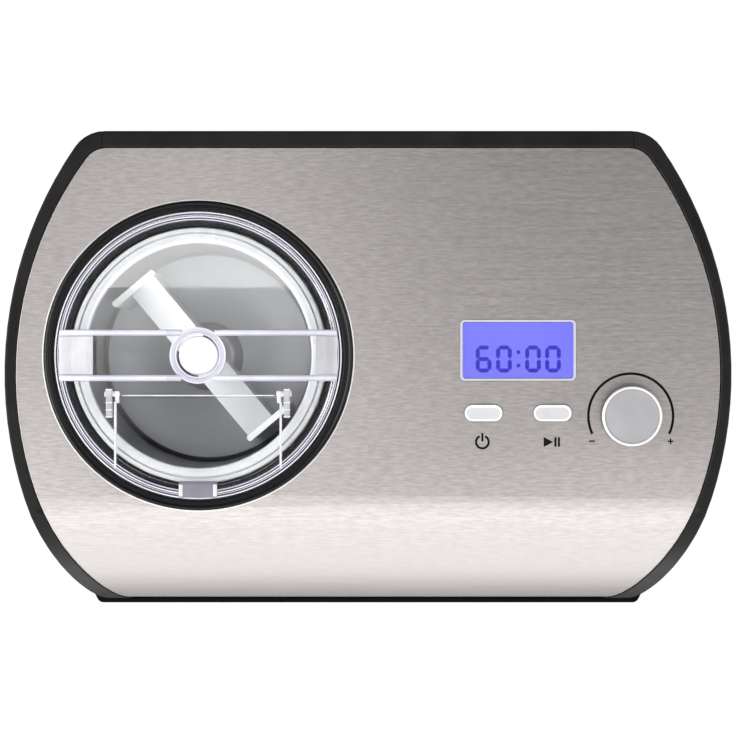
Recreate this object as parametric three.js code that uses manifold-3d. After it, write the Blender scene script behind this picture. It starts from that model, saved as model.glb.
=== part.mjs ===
// A 1.5 litre self-cooling ice cream maker, built piece by piece in millimetres.
// +X is the right of the machine, +Y its rear, +Z up; the origin is under the middle of its box.
import * as THREE from 'three';
import { mergeVertices } from 'three/addons/utils/BufferGeometryUtils.js';
import Module from 'manifold-3d';

const wasm = await Module();
wasm.setup();

// ---- driving dimensions -------------------------------------------------------------------

const GAP = 0.3; // air between two pieces that touch on the real machine
const ROUND = 32; // facets on a large circle
const SMALL_ROUND = 12; // facets on a small circle
const SIDE_STEPS = 26; // facets along each bowed side
const FINE_ROUND = 96; // facets on the bowl's opening in the steel

const BODY = {
  halfWidth: 200, sideRadius: 221, sideCentreY: 2.7, front: -132.4, back: 136.4,
  top: 215, bottom: 26.3, wall: 3, rim: 5, frontCorner: 1.5, backCorner: 20,
};
const PROFILE = { flatEnd: -65, springLine: 25 }; // where the top starts and stops bending down
const BASE = {
  front: -136.4, sideRadius: 280, floor: 6, floorTop: 9, top: 26, wall: 3, frontCorner: 4,
};
const COVER = { halfWidth: 193.7, sideRadius: 201, back: 127.1, drop: 0.8, sheet: 1, corner: 14 };
const SEAM_X = 146; // the rear panel meets the side panels here
const FAR = 300; // reaches past every side of the machine
const TOP_CUT = { low: 180, high: 240 }; // holes through the top are cut between these heights
const CONTROLS_OPENING = { x0: 40, x1: 170, y0: -38, y1: 40 }; // in the chassis, under the controls
const FOOT = { radius: 11, chamfer: 1.5, height: 5.7, x: 150, front: -96, back: 100 };
const SCREW = { radius: 4, x: 117, front: -105.6, back: 110, bottom: 3.6 };
const AIR_INLET = { rows: 7, first: -54, pitch: 9, width: 4, x0: 48, x1: 76, x2: 122, x3: 150 };
const SIDE_VENT = { count: 9, first: -36, pitch: 9, width: 3.4, x: 195, depth: 24, z0: 48, z1: 92 };
const HOT_OUTLET = { count: 13, x0: 46, x1: 134, z: 34 };
const COOL_OUTLET = { count: 7, x0: -126, x1: -46, z: 120 };
const LOUVRE = { pitch: 7, height: 3.4, y0: 120, y1: 140 };

const BOWL_X = -93.3;
const BOWL_Y = 12.9;
const BEZEL = { outer: 84.6, inner: 79.6, top: 216.2, bottom: 203.6, ledge: 71.6, ledgeTop: 206.4 };
const BOWL = { inner: 62, wall: 1.5, floor: 84, top: 206.5, bossRadius: 19, bossTop: 104, bore: 7 };
const RIM_RING = { inner: 62.2, outer: 70.4, bottom: 204.9, top: 209.8 };
const CHAMBER = { inner: 65, wall: 1.5, floor: 78, top: 203, bore: 12 };
const FOAM = { inner: 76, outer: 92, floor: 62, floorTop: 70, top: 203, bore: 16 };
const COIL = { radius: 72.2, tube: 2.8, bottom: 86, top: 186, turns: 5 };

const LID = { plate: 212, plateTop: 214.4, outer: 78.9, bottom: 206.8, rimTop: 217, ribTop: 227 };
const RIB = { offset: 12.4, thickness: 3.4, topHalf: 58, footHalf: 76.4, leftRamp: 57, rightRamp: 65 };
const HUB = { outer: 15.4, inner: 13.2, bore: 11.6, top: 221 };
const FLAP = {
  hingeY: -21.2, hingeZ: 216.6, halfWidth: 46, back: -23, frontRadius: 72,
  trunnion: 1.6, socket: 2.1, tabHalf: 10.5, tabFront: -78, tabBottom: 217.6, tabTop: 219.6,
  ridgeFront: -62, ridgeStep: -54, ridgeWidth: 1.2,
};
const PADDLE = {
  hub: 10.2, bore: 6.6, capRadius: 10.7, bottom: 106, capBottom: 209, boreTop: 203, top: 216,
  angle: 130,
};
const WING = {
  half: 8.4, skin: 2.4, low: 88, lowRidge: 176, highRidge: 188, tip: 54.5,
  endRight: -10, endLeft: 19.5, endThickness: 3.4,
};

const SHAFT = { radius: 5.6, bottom: 36, top: 200 };
const GEAR = { module: 1.875, teeth: 36, pinionTeeth: 12, bottom: 47, top: 55, backlash: 0.35 };
const GEAR_DISTANCE = (GEAR.module * (GEAR.teeth + GEAR.pinionTeeth)) / 2;
const MOTOR_X = BOWL_X + GEAR_DISTANCE;
const MOTOR = { radius: 24, bore: 4, bottom: 12, top: 41.6, chamfer: 2 };
const GEARBOX = {
  length: 132, width: 88, corner: 20, wall: 3, floor: 42, floorTop: 45.5, seam: 57, top: 60,
  offset: 20,
};
const BEARING = { inner: 6, outer: 9, height: 5, lower: 41, upper: 56 };

const DISPLAY = { x: 82.6, y: 15.8, width: 63.4, depth: 33.4, corner: 2.8, frame: 1.1 };
const BUTTON = { length: 20.8, width: 9, y: -18.8, xs: [63.5, 101.5], top: 216.2, bottom: 208.6 };
const KNOB = { x: 144.5, y: -20.4, radius: 16.4, bottom: 215.4, top: 227, stem: 3.5, stemBottom: 208 };
const CONTROL_BOARD = { x0: 44, x1: 156, y0: -34, y1: 36, bottom: 196, thickness: 1.6 };
const SWITCH_Z = CONTROL_BOARD.bottom + CONTROL_BOARD.thickness + GAP; // switches stand on the board
const SWITCH = { half: 3, top: 203, plunger: 1.7, travel: 1.8 };
const ENCODER = { half: 6, top: 207.6 };
const POWER_BOARD = { x0: 30, x1: 130, y0: -102, y1: -100.4, z0: 40, z1: 112 };
const TRANSFORMER = { x0: 40, x1: 66, y1: -82, z0: 50, z1: 82 };
const RELAY = { x0: 98, x1: 118, y1: -88, z0: 52, z1: 80 };
const CAPACITOR = { radius: 7, x: 84, y0: -101, y1: -77, z: 64 };

const COMPRESSOR = { x: 100, y: -15, radius: 48, bottom: 22, top: 150 };
const CONDENSER = { x: 90, y: 72, width: 120, depth: 22, bottom: 28, top: 124, fins: 11 };
const FAN = { x: 90, y: 100, z: 76, size: 96, depth: 22, radius: 43, hub: 15, blades: 7 };
const GLAND = { x: -60, z: 46, radius: 6.7, bore: 3.5, flange: 9.5, length: 8 };

const PAINT = {
  black: [0x232122, 0.0, 0.45], steel: [0xb7b2ae, 1.0, 0.3], aluminium: [0xc4c6c8, 1.0, 0.35],
  clear: [0xeef2f4, 0.0, 0.08], white: [0xf1f1ee, 0.0, 0.35], grey: [0x8b8a8c, 0.0, 0.5],
  rubber: [0x1b1b1b, 0.0, 0.8], foam: [0xe6dcc0, 0.0, 0.9], copper: [0xb87333, 1.0, 0.3],
  board: [0x1f6a3c, 0.0, 0.5], screen: [0x8a8aff, 0.0, 0.3], iron: [0x2a2c2e, 0.6, 0.5],
};

const group = new THREE.Group();

// ---- solids: joining and cutting ---------------------------------------------------------

function toSolid(geometry) {
  const bare = geometry.index ? geometry.toNonIndexed() : geometry.clone();
  bare.deleteAttribute('normal');
  bare.deleteAttribute('uv');
  const merged = mergeVertices(bare, 1e-4);
  const vertProperties = new Float32Array(merged.attributes.position.array);
  const triVerts = new Uint32Array(merged.index.array);
  return new wasm.Manifold(new wasm.Mesh({ numProp: 3, vertProperties, triVerts }));
}

function toGeometry(solid) {
  const mesh = solid.getMesh();
  const geometry = new THREE.BufferGeometry();
  const corners = new Float32Array(mesh.vertProperties);
  geometry.setAttribute('position', new THREE.BufferAttribute(corners, 3));
  geometry.setIndex(new THREE.BufferAttribute(new Uint32Array(mesh.triVerts), 1));
  geometry.computeVertexNormals();
  return geometry;
}

function join(first, ...others) {
  return others.reduce((sum, geometry) => sum.add(toSolid(geometry)), toSolid(first));
}

function cut(solid, ...tools) {
  return tools.reduce((rest, geometry) => rest.subtract(toSolid(geometry)), solid);
}

function addPart(name, shape, paint) {
  const geometry = shape.isBufferGeometry ? shape : toGeometry(shape);
  const [color, metalness, roughness] = PAINT[paint];
  const material = new THREE.MeshStandardMaterial({ color, metalness, roughness });
  const mesh = new THREE.Mesh(geometry, material);
  mesh.name = name;
  group.add(mesh);
}

// ---- shapes used by many pieces ----------------------------------------------------------

function box(x0, x1, y0, y1, z0, z1) {
  const geometry = new THREE.BoxGeometry(x1 - x0, y1 - y0, z1 - z0);
  return geometry.translate((x0 + x1) / 2, (y0 + y1) / 2, (z0 + z1) / 2);
}

function prism(shape, z0, z1, curveSegments = 6) {
  const options = { depth: z1 - z0, bevelEnabled: false, curveSegments };
  return new THREE.ExtrudeGeometry(shape, options).translate(0, 0, z0);
}

// A ring or disc about a vertical axis, from a closed outline of [radius, height] points.
function turned(outline, x, y, facets = ROUND) {
  const points = outline.map(([radius, height]) => new THREE.Vector2(radius, height));
  if (THREE.ShapeUtils.area(points) < 0) {
    points.reverse();
  }
  points.push(points[0]);
  const lathe = new THREE.LatheGeometry(points, facets);
  const solid = toSolid(lathe.rotateX(Math.PI / 2));
  return toGeometry(solid).translate(x, y, 0);
}

function disc(radius, z0, z1, x, y, facets = ROUND) {
  const geometry = new THREE.CylinderGeometry(radius, radius, z1 - z0, facets);
  return geometry.rotateX(Math.PI / 2).translate(x, y, (z0 + z1) / 2);
}

function ring(inner, outer, z0, z1, x, y, facets = ROUND) {
  return turned([[inner, z0], [outer, z0], [outer, z1], [inner, z1]], x, y, facets);
}

// A round bar along +Y, as the fan and the gland use.
function barAlongY(radius, y0, y1, x, z, facets = ROUND) {
  return new THREE.CylinderGeometry(radius, radius, y1 - y0, facets).translate(x, (y0 + y1) / 2, z);
}

function barAlongX(radius, x0, x1, y, z, facets = SMALL_ROUND) {
  const bar = new THREE.CylinderGeometry(radius, radius, x1 - x0, facets).rotateZ(Math.PI / 2);
  return bar.translate((x0 + x1) / 2, y, z);
}

// Adds the points of an arc to an outline, both ends included.
function addArc(points, x, y, radius, start, end, steps) {
  for (let step = 0; step <= steps; step += 1) {
    const turn = start + ((end - start) * step) / steps;
    points.push(new THREE.Vector2(x + radius * Math.cos(turn), y + radius * Math.sin(turn)));
  }
}

function roundedRectangle(width, depth, corner, x, y, steps = 3) {
  const right = x + width / 2 - corner;
  const left = x - width / 2 + corner;
  const back = y + depth / 2 - corner;
  const front = y - depth / 2 + corner;
  const points = [];
  addArc(points, right, front, corner, -Math.PI / 2, 0, steps);
  addArc(points, right, back, corner, 0, Math.PI / 2, steps);
  addArc(points, left, back, corner, Math.PI / 2, Math.PI, steps);
  addArc(points, left, front, corner, Math.PI, Math.PI * 1.5, steps);
  return new THREE.Shape(points);
}

// The outline of the machine from above: straight front and back, bowed sides, filleted corners.
function barrelShape(halfWidth, radius, front, back, frontCorner, backCorner) {
  const centreX = halfWidth - radius;
  const centreY = BODY.sideCentreY;
  const filletX = (y, corner) => centreX + Math.sqrt((radius - corner) ** 2 - (y - centreY) ** 2);
  const frontY = front + frontCorner;
  const backY = back - backCorner;
  const frontX = filletX(frontY, frontCorner);
  const backX = filletX(backY, backCorner);
  const frontTurn = Math.atan2(frontY - centreY, frontX - centreX);
  const backTurn = Math.atan2(backY - centreY, backX - centreX);
  const right = [];
  addArc(right, frontX, frontY, frontCorner, -Math.PI / 2, frontTurn, 4);
  right.pop();
  addArc(right, centreX, centreY, radius, frontTurn, backTurn, SIDE_STEPS);
  right.pop();
  addArc(right, backX, backY, backCorner, backTurn, Math.PI / 2, 5);
  const left = [...right].reverse().map((point) => new THREE.Vector2(-point.x, point.y));
  return new THREE.Shape([...right, ...left]);
}

// Lays a section drawn in (y, z) along +X.
const OUTWARD = new THREE.Matrix4().makeBasis(
  new THREE.Vector3(0, 1, 0), new THREE.Vector3(0, 0, 1), new THREE.Vector3(1, 0, 0));

// The side view of the machine: a flat top that bends down into the front, as a bread bin does.
function sideProfile(inset) {
  const top = BODY.top - inset;
  const reach = PROFILE.flatEnd - BODY.front - inset;
  const shape = new THREE.Shape();
  shape.moveTo(BODY.back + 10, 0);
  shape.lineTo(BODY.back + 10, top);
  shape.absellipse(PROFILE.flatEnd, PROFILE.springLine, reach, top - PROFILE.springLine,
    Math.PI / 2, Math.PI);
  shape.lineTo(PROFILE.flatEnd - reach, 0);
  const length = 2 * BODY.halfWidth + 20;
  const geometry = prism(shape, -length / 2, length / 2, 9);
  return geometry.applyMatrix4(OUTWARD);
}

function bodyBlock(inset, topInset, z0, z1) {
  const plan = barrelShape(BODY.halfWidth - inset, BODY.sideRadius - inset, BODY.front + inset,
    BODY.back - inset, BODY.frontCorner, BODY.backCorner - inset);
  return toSolid(prism(plan, z0, z1)).intersect(toSolid(sideProfile(topInset)));
}

function coverPlan(inset) {
  return barrelShape(COVER.halfWidth - inset, COVER.sideRadius - inset, BODY.front - 8,
    COVER.back - inset, COVER.corner, COVER.corner);
}

function circlePoints(radius, facets) {
  const turns = Array.from({ length: facets }, (_, index) => (index / facets) * Math.PI * 2);
  return turns.map((turn) => new THREE.Vector2(radius * Math.cos(turn), radius * Math.sin(turn)));
}

// A tube of the given radius along a smooth curve through the points.
function tube(points, radius, steps, sides = 8) {
  const path = new THREE.CatmullRomCurve3(points.map((point) => new THREE.Vector3(...point)));
  const section = new THREE.Shape(circlePoints(radius, sides));
  const options = { steps, extrudePath: path, bevelEnabled: false };
  return new THREE.ExtrudeGeometry(section, options);
}

// ---- housing -----------------------------------------------------------------------------

function buildBase() {
  const plan = (inset) => barrelShape(BODY.halfWidth - inset, BASE.sideRadius - inset,
    BASE.front + inset, BODY.back - inset, BASE.frontCorner - inset, BODY.backCorner - inset);
  const pocket = prism(plan(BASE.wall), BASE.floorTop, BASE.top + 1);
  let tray = cut(toSolid(prism(plan(0), BASE.floor, BASE.top)), pocket);
  for (let row = 0; row < AIR_INLET.rows; row += 1) {
    const y0 = AIR_INLET.first + row * AIR_INLET.pitch - AIR_INLET.width / 2;
    const y1 = y0 + AIR_INLET.width;
    const left = box(AIR_INLET.x0, AIR_INLET.x1, y0, y1, 0, BASE.top);
    const right = box(AIR_INLET.x2, AIR_INLET.x3, y0, y1, 0, BASE.top);
    tray = cut(tray, left, right);
  }
  addPart('base_tray', tray, 'black');
  const corners = [[-1, 'front'], [1, 'front'], [-1, 'back'], [1, 'back']];
  corners.forEach(([side, end], index) => {
    const { radius, chamfer, height } = FOOT;
    const foot = [[0, 0], [radius - chamfer, 0], [radius, chamfer], [radius, height], [0, height]];
    addPart(`rubber_foot_${index + 1}`, turned(foot, side * FOOT.x, FOOT[end], SMALL_ROUND), 'rubber');
    const head = [[0, SCREW.bottom], [SCREW.radius - 1, SCREW.bottom],
      [SCREW.radius, SCREW.bottom + 0.6], [SCREW.radius, height], [0, height]];
    addPart(`base_screw_${index + 1}`, turned(head, side * SCREW.x, SCREW[end], SMALL_ROUND), 'steel');
  });
}

function sideVents(sign) {
  const { count, first, pitch, width, x, depth, z0, z1 } = SIDE_VENT;
  const slots = [];
  for (let index = 0; index < count; index += 1) {
    const y = first + index * pitch;
    const middle = sign * x;
    slots.push(box(middle - depth / 2, middle + depth / 2, y - width / 2, y + width / 2, z0, z1));
  }
  return slots;
}

function louvres({ count, x0, x1, z }) {
  const slots = [];
  for (let index = 0; index < count; index += 1) {
    const low = z + index * LOUVRE.pitch;
    slots.push(box(x0, x1, LOUVRE.y0, LOUVRE.y1, low, low + LOUVRE.height));
  }
  return slots;
}

function buildShell() {
  const outer = bodyBlock(0, 0, BODY.bottom, BODY.top + 1);
  const inner = bodyBlock(BODY.wall, BODY.rim, 0, BODY.top + 1);
  const shell = outer.subtract(inner);
  const coverWell = prism(coverPlan(-GAP), 0, BODY.top + 10);
  const rearZone = box(-SEAM_X, SEAM_X, 90, BODY.back + 5, 0, BODY.top + 10);
  const rearCut = box(-SEAM_X - GAP, SEAM_X + GAP, 90, BODY.back + 5, 0, BODY.top + 10);
  const frame = cut(shell, coverWell);
  const sides = cut(frame, rearCut);
  const rightHalf = toSolid(box(0, FAR, -FAR, FAR, 0, FAR));
  const leftHalf = toSolid(box(-FAR, 0, -FAR, FAR, 0, FAR));
  addPart('side_panel_right', cut(sides.intersect(rightHalf), ...sideVents(1)), 'black');
  addPart('side_panel_left', cut(sides.intersect(leftHalf), ...sideVents(-1)), 'black');

  const glandHole = barAlongY(GLAND.radius + GAP, LOUVRE.y0, LOUVRE.y1, GLAND.x, GLAND.z, SMALL_ROUND);
  const rear = frame.intersect(toSolid(rearZone));
  const openings = [...louvres(HOT_OUTLET), ...louvres(COOL_OUTLET), glandHole];
  addPart('rear_panel', cut(rear, ...openings), 'black');
}

function buildGland() {
  const { x, z, radius, bore, flange, length } = GLAND;
  const start = BODY.back - length;
  const sleeve = barAlongY(radius, start, BODY.back - 0.2, x, z, SMALL_ROUND);
  const collar = barAlongY(flange, start, BODY.back - BODY.wall - GAP, x, z, SMALL_ROUND);
  const hole = barAlongY(bore, start - 2, BODY.back + 2, x, z, SMALL_ROUND);
  addPart('mains_cord_gland', cut(join(sleeve, collar), hole), 'rubber');
}

function buildCover() {
  const sheetTop = COVER.drop;
  const plan = prism(coverPlan(0), BASE.top + GAP, BODY.top + 10);
  const sheet = toSolid(plan).intersect(toSolid(sideProfile(sheetTop)));
  const cover = cut(sheet, sideProfile(sheetTop + COVER.sheet));
  const { low, high } = TOP_CUT;
  const through = (shape) => prism(shape, low, high);
  const displayHole = roundedRectangle(DISPLAY.width + 0.6, DISPLAY.depth + 0.6, DISPLAY.corner,
    DISPLAY.x, DISPLAY.y);
  const buttonHoles = BUTTON.xs.map((x) => through(
    roundedRectangle(BUTTON.length + 0.8, BUTTON.width + 0.8, BUTTON.width / 2 + 0.3, x, BUTTON.y, 5)));
  const bowlHole = disc(BEZEL.outer + 0.4, low, high, BOWL_X, BOWL_Y, FINE_ROUND);
  const knobHole = disc(KNOB.stem + 1.2, low, high, KNOB.x, KNOB.y, SMALL_ROUND);
  const holes = [bowlHole, through(displayHole), ...buttonHoles, knobHole];
  addPart('top_front_cover', cut(cover, ...holes), 'steel');

  const depth = sheetTop + COVER.sheet + GAP;
  const inner = prism(coverPlan(1), BASE.top + GAP, BODY.top);
  const chassisSkin = toSolid(inner).intersect(toSolid(sideProfile(depth)));
  const { x0, x1, y0, y1 } = CONTROLS_OPENING;
  const controlsOpening = box(x0, x1, y0, y1, low, high);
  const chassis = cut(chassisSkin, sideProfile(depth + 2.2), bowlHole, controlsOpening);
  addPart('inner_chassis', chassis, 'grey');
}

// ---- bowl, lid and paddle ----------------------------------------------------------------

function buildBezel() {
  const { outer, inner, top, bottom, ledge, ledgeTop } = BEZEL;
  const outline = [[ledge, bottom], [outer, bottom], [outer, top - 1], [outer - 1, top],
    [82.6, top], [82.1, top - 0.8], [81.6, top], [inner + 0.8, top], [inner, top - 0.8],
    [inner, ledgeTop], [ledge, ledgeTop]];
  addPart('bowl_bezel', turned(outline, BOWL_X, BOWL_Y, 40), 'black');
}

function buildBowl() {
  const { inner, wall, floor, top, bossRadius, bossTop, bore } = BOWL;
  const outer = inner + wall;
  const outline = [[bore, bossTop - wall], [bore, bossTop], [bossRadius - 5, bossTop],
    [bossRadius - 1.5, bossTop - 3], [bossRadius, floor + wall], [inner - 3, floor + wall],
    [inner, floor + wall + 3], [inner, top], [outer, top], [outer, floor + 3], [outer - 3, floor],
    [bossRadius - wall, floor], [bossRadius - 3, bossTop - 4], [bossRadius - 5.5, bossTop - wall]];
  addPart('freezer_bowl', turned(outline, BOWL_X, BOWL_Y), 'aluminium');

  const step = outer + GAP;
  const rim = [[step, RIM_RING.bottom], [RIM_RING.outer, RIM_RING.bottom],
    [RIM_RING.outer, RIM_RING.top - 1], [RIM_RING.outer - 1, RIM_RING.top],
    [RIM_RING.inner + 0.6, RIM_RING.top], [RIM_RING.inner, RIM_RING.top - 0.6],
    [RIM_RING.inner, top + GAP], [step, top + GAP]];
  addPart('bowl_rim_ring', turned(rim, BOWL_X, BOWL_Y), 'white');
}

function ribPlate(y) {
  const shape = new THREE.Shape();
  shape.moveTo(-RIB.footHalf, LID.plateTop - 1);
  shape.lineTo(RIB.footHalf, LID.plateTop - 1);
  shape.lineTo(RIB.footHalf, LID.rimTop + 1.5);
  shape.lineTo(RIB.topHalf, LID.ribTop);
  shape.lineTo(-RIB.topHalf, LID.ribTop);
  shape.lineTo(-RIB.footHalf, LID.rimTop + 1.5);
  const plate = prism(shape, -RIB.thickness / 2, RIB.thickness / 2);
  return plate.rotateX(Math.PI / 2).translate(BOWL_X, BOWL_Y + y, 0);
}

// A sloping plate that joins the two ribs at one end of the handle.
function ramp(sign) {
  const inner = sign * (sign < 0 ? RIB.leftRamp : RIB.rightRamp);
  const shape = new THREE.Shape();
  shape.moveTo(sign * RIB.footHalf, LID.rimTop - 1.6);
  shape.lineTo(sign * RIB.footHalf, LID.rimTop + 0.8);
  shape.lineTo(inner, LID.ribTop - 1);
  shape.lineTo(inner, LID.ribTop - 3);
  const plate = prism(shape, -RIB.offset, RIB.offset);
  return plate.rotateX(Math.PI / 2).translate(BOWL_X, BOWL_Y, 0);
}

// The flap is a segment of the lid plate: straight at the hinge and the sides, round in front.
function flapOutline(spread) {
  const half = FLAP.halfWidth + spread;
  const radius = FLAP.frontRadius + spread;
  const shape = new THREE.Shape();
  const turn = Math.acos(half / radius);
  shape.moveTo(half, FLAP.back + spread);
  shape.lineTo(-half, FLAP.back + spread);
  shape.absarc(0, 0, radius, Math.PI + turn, 2 * Math.PI - turn);
  return shape;
}

function placeOverBowl(geometry) {
  return geometry.translate(BOWL_X, BOWL_Y, 0);
}

function buildLid() {
  const { plate, plateTop, outer, bottom, rimTop } = LID;
  const outline = [[0, plate], [73.6, plate], [74.2, bottom], [outer, bottom], [outer, rimTop - 1],
    [outer - 1, rimTop], [75.4, rimTop], [74.2, plateTop], [0, plateTop]];
  const hubRing = ring(HUB.bore + 0.4, HUB.outer, plateTop - 1, HUB.top, BOWL_X, BOWL_Y);
  const pieces = [hubRing, ribPlate(RIB.offset), ribPlate(-RIB.offset)];
  [-1, 1].forEach((sign) => {
    pieces.push(ramp(sign));
    const knuckleX = BOWL_X + sign * (FLAP.halfWidth + 3.4);
    const y = BOWL_Y + FLAP.hingeY;
    pieces.push(box(knuckleX - 2.4, knuckleX + 2.4, y - 13, y + 3, plateTop - 1, FLAP.hingeZ + 3.2));
  });
  let lid = join(turned(outline, BOWL_X, BOWL_Y, 40), ...pieces);
  const opening = placeOverBowl(prism(flapOutline(0.5), plate - 5, plateTop + 1, 16));
  const hinge = barAlongX(FLAP.socket, BOWL_X - 60, BOWL_X + 60, BOWL_Y + FLAP.hingeY, FLAP.hingeZ);
  lid = cut(lid, opening, disc(HUB.bore, plate - 1, HUB.top + 1, BOWL_X, BOWL_Y), hinge);
  addPart('clear_lid', lid, 'clear');
}

// The clear flap: a panel with two hinge ears, a ridge along each side and a finger tab in front.
function buildFlap() {
  const { plate, plateTop } = LID;
  const { hingeY, hingeZ, halfWidth, back, tabHalf, tabFront, tabBottom, tabTop } = FLAP;
  const panel = placeOverBowl(prism(flapOutline(0), plate, plateTop, 16));
  const ears = [];
  const onTop = [];
  [-1, 1].forEach((sign) => {
    const earX = sign * (halfWidth - 2);
    ears.push(box(earX - 1.8, earX + 1.8, hingeY - 5, hingeY + 1.2, plateTop - 2, hingeZ + 1.6));
    const inner = sign * (halfWidth - 3);
    const outer = sign * (halfWidth + 5.4);
    const low = Math.min(inner, outer);
    const high = Math.max(inner, outer);
    onTop.push(barAlongX(FLAP.trunnion, low, high, hingeY, hingeZ));
    const ridgeX = sign * (halfWidth - FLAP.ridgeWidth / 2);
    const x0 = ridgeX - FLAP.ridgeWidth / 2;
    const x1 = ridgeX + FLAP.ridgeWidth / 2;
    onTop.push(box(x0, x1, FLAP.ridgeStep, hingeY - 4, plateTop - 1, tabTop));
    onTop.push(box(x0, x1, FLAP.ridgeFront, hingeY - 4, tabBottom, tabTop));
  });
  const webY = -70;
  onTop.push(box(-tabHalf, tabHalf, webY - 1, webY + 1, plateTop - 1, tabTop));
  onTop.push(box(-tabHalf, tabHalf, tabFront, webY + 1, tabBottom, tabTop));
  const behindHinge = box(-60, 60, back, -10, 200, plateTop + 0.8);
  const [rubbed, raised] = [ears, onTop].map((pieces) => pieces.map(placeOverBowl));
  const flat = cut(join(panel, ...rubbed), placeOverBowl(behindHinge));
  addPart('fill_flap', flat.add(join(...raised)), 'clear');
}

// One paddle wing: an upside-down channel, its top sloping to one side, with a wider end plate.
function paddleWing(turn) {
  const { half, skin, low, lowRidge, highRidge, tip, endRight, endLeft, endThickness } = WING;
  const channel = (inset, drop, from, to) => {
    const section = new THREE.Shape([
      new THREE.Vector2(-half + inset, low - drop),
      new THREE.Vector2(half - inset, low - drop),
      new THREE.Vector2(half - inset, lowRidge - inset),
      new THREE.Vector2(-half + inset, highRidge - inset),
    ]);
    return prism(section, from, to).applyMatrix4(OUTWARD);
  };
  const wing = cut(toSolid(channel(0, 0, PADDLE.bore + 1, tip)), channel(skin, 5, 0, tip + 5));
  const bossRoom = disc(BOWL.bossRadius + 3, 0, BOWL.bossTop + 3, 0, 0, SMALL_ROUND * 2);
  const endPlate = box(tip - endThickness, tip, endRight, endLeft, low, highRidge);
  return toGeometry(cut(wing, bossRoom).add(toSolid(endPlate))).rotateZ(turn);
}

function buildPaddle() {
  const start = THREE.MathUtils.degToRad(PADDLE.angle);
  const wings = [start, start + Math.PI].map((turn) => placeOverBowl(paddleWing(turn)));
  const { hub: hubRadius, bore, capRadius, bottom, capBottom, boreTop, top } = PADDLE;
  const hubOutline = [[bore, bottom], [hubRadius, bottom], [hubRadius, capBottom - 1],
    [capRadius, capBottom], [capRadius, top - 1], [capRadius - 1, top], [0, top],
    [0, boreTop], [bore, boreTop]];
  const hub = turned(hubOutline, BOWL_X, BOWL_Y);
  const boreCut = disc(bore, bottom - 6, boreTop, BOWL_X, BOWL_Y);
  addPart('mixing_paddle', cut(join(hub, ...wings), boreCut), 'white');
}

// ---- cold side ---------------------------------------------------------------------------

function buildChamber() {
  const { inner, wall, floor, top, bore } = CHAMBER;
  const outer = inner + wall;
  const outline = [[bore, floor], [outer, floor], [outer, top - 1.5], [71, top - 1.5], [71, top],
    [inner, top], [inner, floor + wall], [bore, floor + wall]];
  addPart('cooling_chamber', turned(outline, BOWL_X, BOWL_Y), 'aluminium');
  addPart('chamber_seal', ring(66.6, 70, top + GAP, top + 1.6, BOWL_X, BOWL_Y), 'rubber');

  const foam = [[FOAM.bore, FOAM.floor], [FOAM.outer, FOAM.floor], [FOAM.outer, FOAM.top],
    [FOAM.inner, FOAM.top], [FOAM.inner, FOAM.floorTop], [FOAM.bore, FOAM.floorTop]];
  const ports = [COIL.bottom, COIL.top].map((z) => barAlongX(5, BOWL_X + 60, BOWL_X + 100, BOWL_Y, z));
  addPart('chamber_insulation', cut(toSolid(turned(foam, BOWL_X, BOWL_Y)), ...ports), 'foam');

  const points = [];
  const stepsPerTurn = 12;
  for (let step = 0; step <= COIL.turns * stepsPerTurn; step += 1) {
    const angle = (step / stepsPerTurn) * Math.PI * 2;
    const z = COIL.bottom + ((COIL.top - COIL.bottom) * step) / (COIL.turns * stepsPerTurn);
    points.push([BOWL_X + COIL.radius * Math.cos(angle), BOWL_Y + COIL.radius * Math.sin(angle), z]);
  }
  addPart('evaporator_coil', tube(points, COIL.tube, COIL.turns * 14, 6), 'copper');
}

function buildCompressor() {
  const { x, y, radius, bottom, top } = COMPRESSOR;
  const outline = [[0, bottom], [radius - 12, bottom], [radius - 3, bottom + 6], [radius, bottom + 16],
    [radius, 84], [radius + 3, 86], [radius + 3, 90], [radius, 92], [radius, top - 26],
    [radius - 5, top - 12], [radius - 18, top - 3], [radius - 32, top], [0, top]];
  const ears = [];
  const angles = [30, 150, 270].map(THREE.MathUtils.degToRad);
  angles.forEach((angle) => {
    const ear = box(0, 62, -9, 9, bottom, bottom + 3).rotateZ(angle).translate(x, y, 0);
    ears.push(ear);
  });
  addPart('compressor', join(turned(outline, x, y, 24), ...ears), 'iron');
  angles.forEach((angle, index) => {
    const footX = x + 54 * Math.cos(angle);
    const footY = y + 54 * Math.sin(angle);
    const low = BASE.floorTop + GAP;
    const high = bottom - GAP;
    const bushing = [[0, low], [8, low], [8, 13], [6, 14], [6, 17], [8, 18], [8, high], [0, high]];
    addPart(`compressor_grommet_${index + 1}`, turned(bushing, footX, footY, SMALL_ROUND), 'rubber');
  });
}

function buildCondenser() {
  const { x, y, width, depth, bottom, top, fins } = CONDENSER;
  const fin = (index) => {
    const finX = x - width / 2 + (index * (width - 1)) / (fins - 1);
    return box(finX, finX + 1, y - depth / 2, y + depth / 2, bottom, top);
  };
  let solid = toSolid(fin(0));
  for (let index = 1; index < fins; index += 1) {
    solid = solid.add(toSolid(fin(index)));
  }
  for (let row = 0; row < 3; row += 1) {
    const z = bottom + 16 + row * 32;
    solid = solid.add(toSolid(barAlongX(4, x - width / 2 - 4, x + width / 2 + 4, y, z, 6)));
  }
  addPart('condenser', solid, 'aluminium');
}

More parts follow.
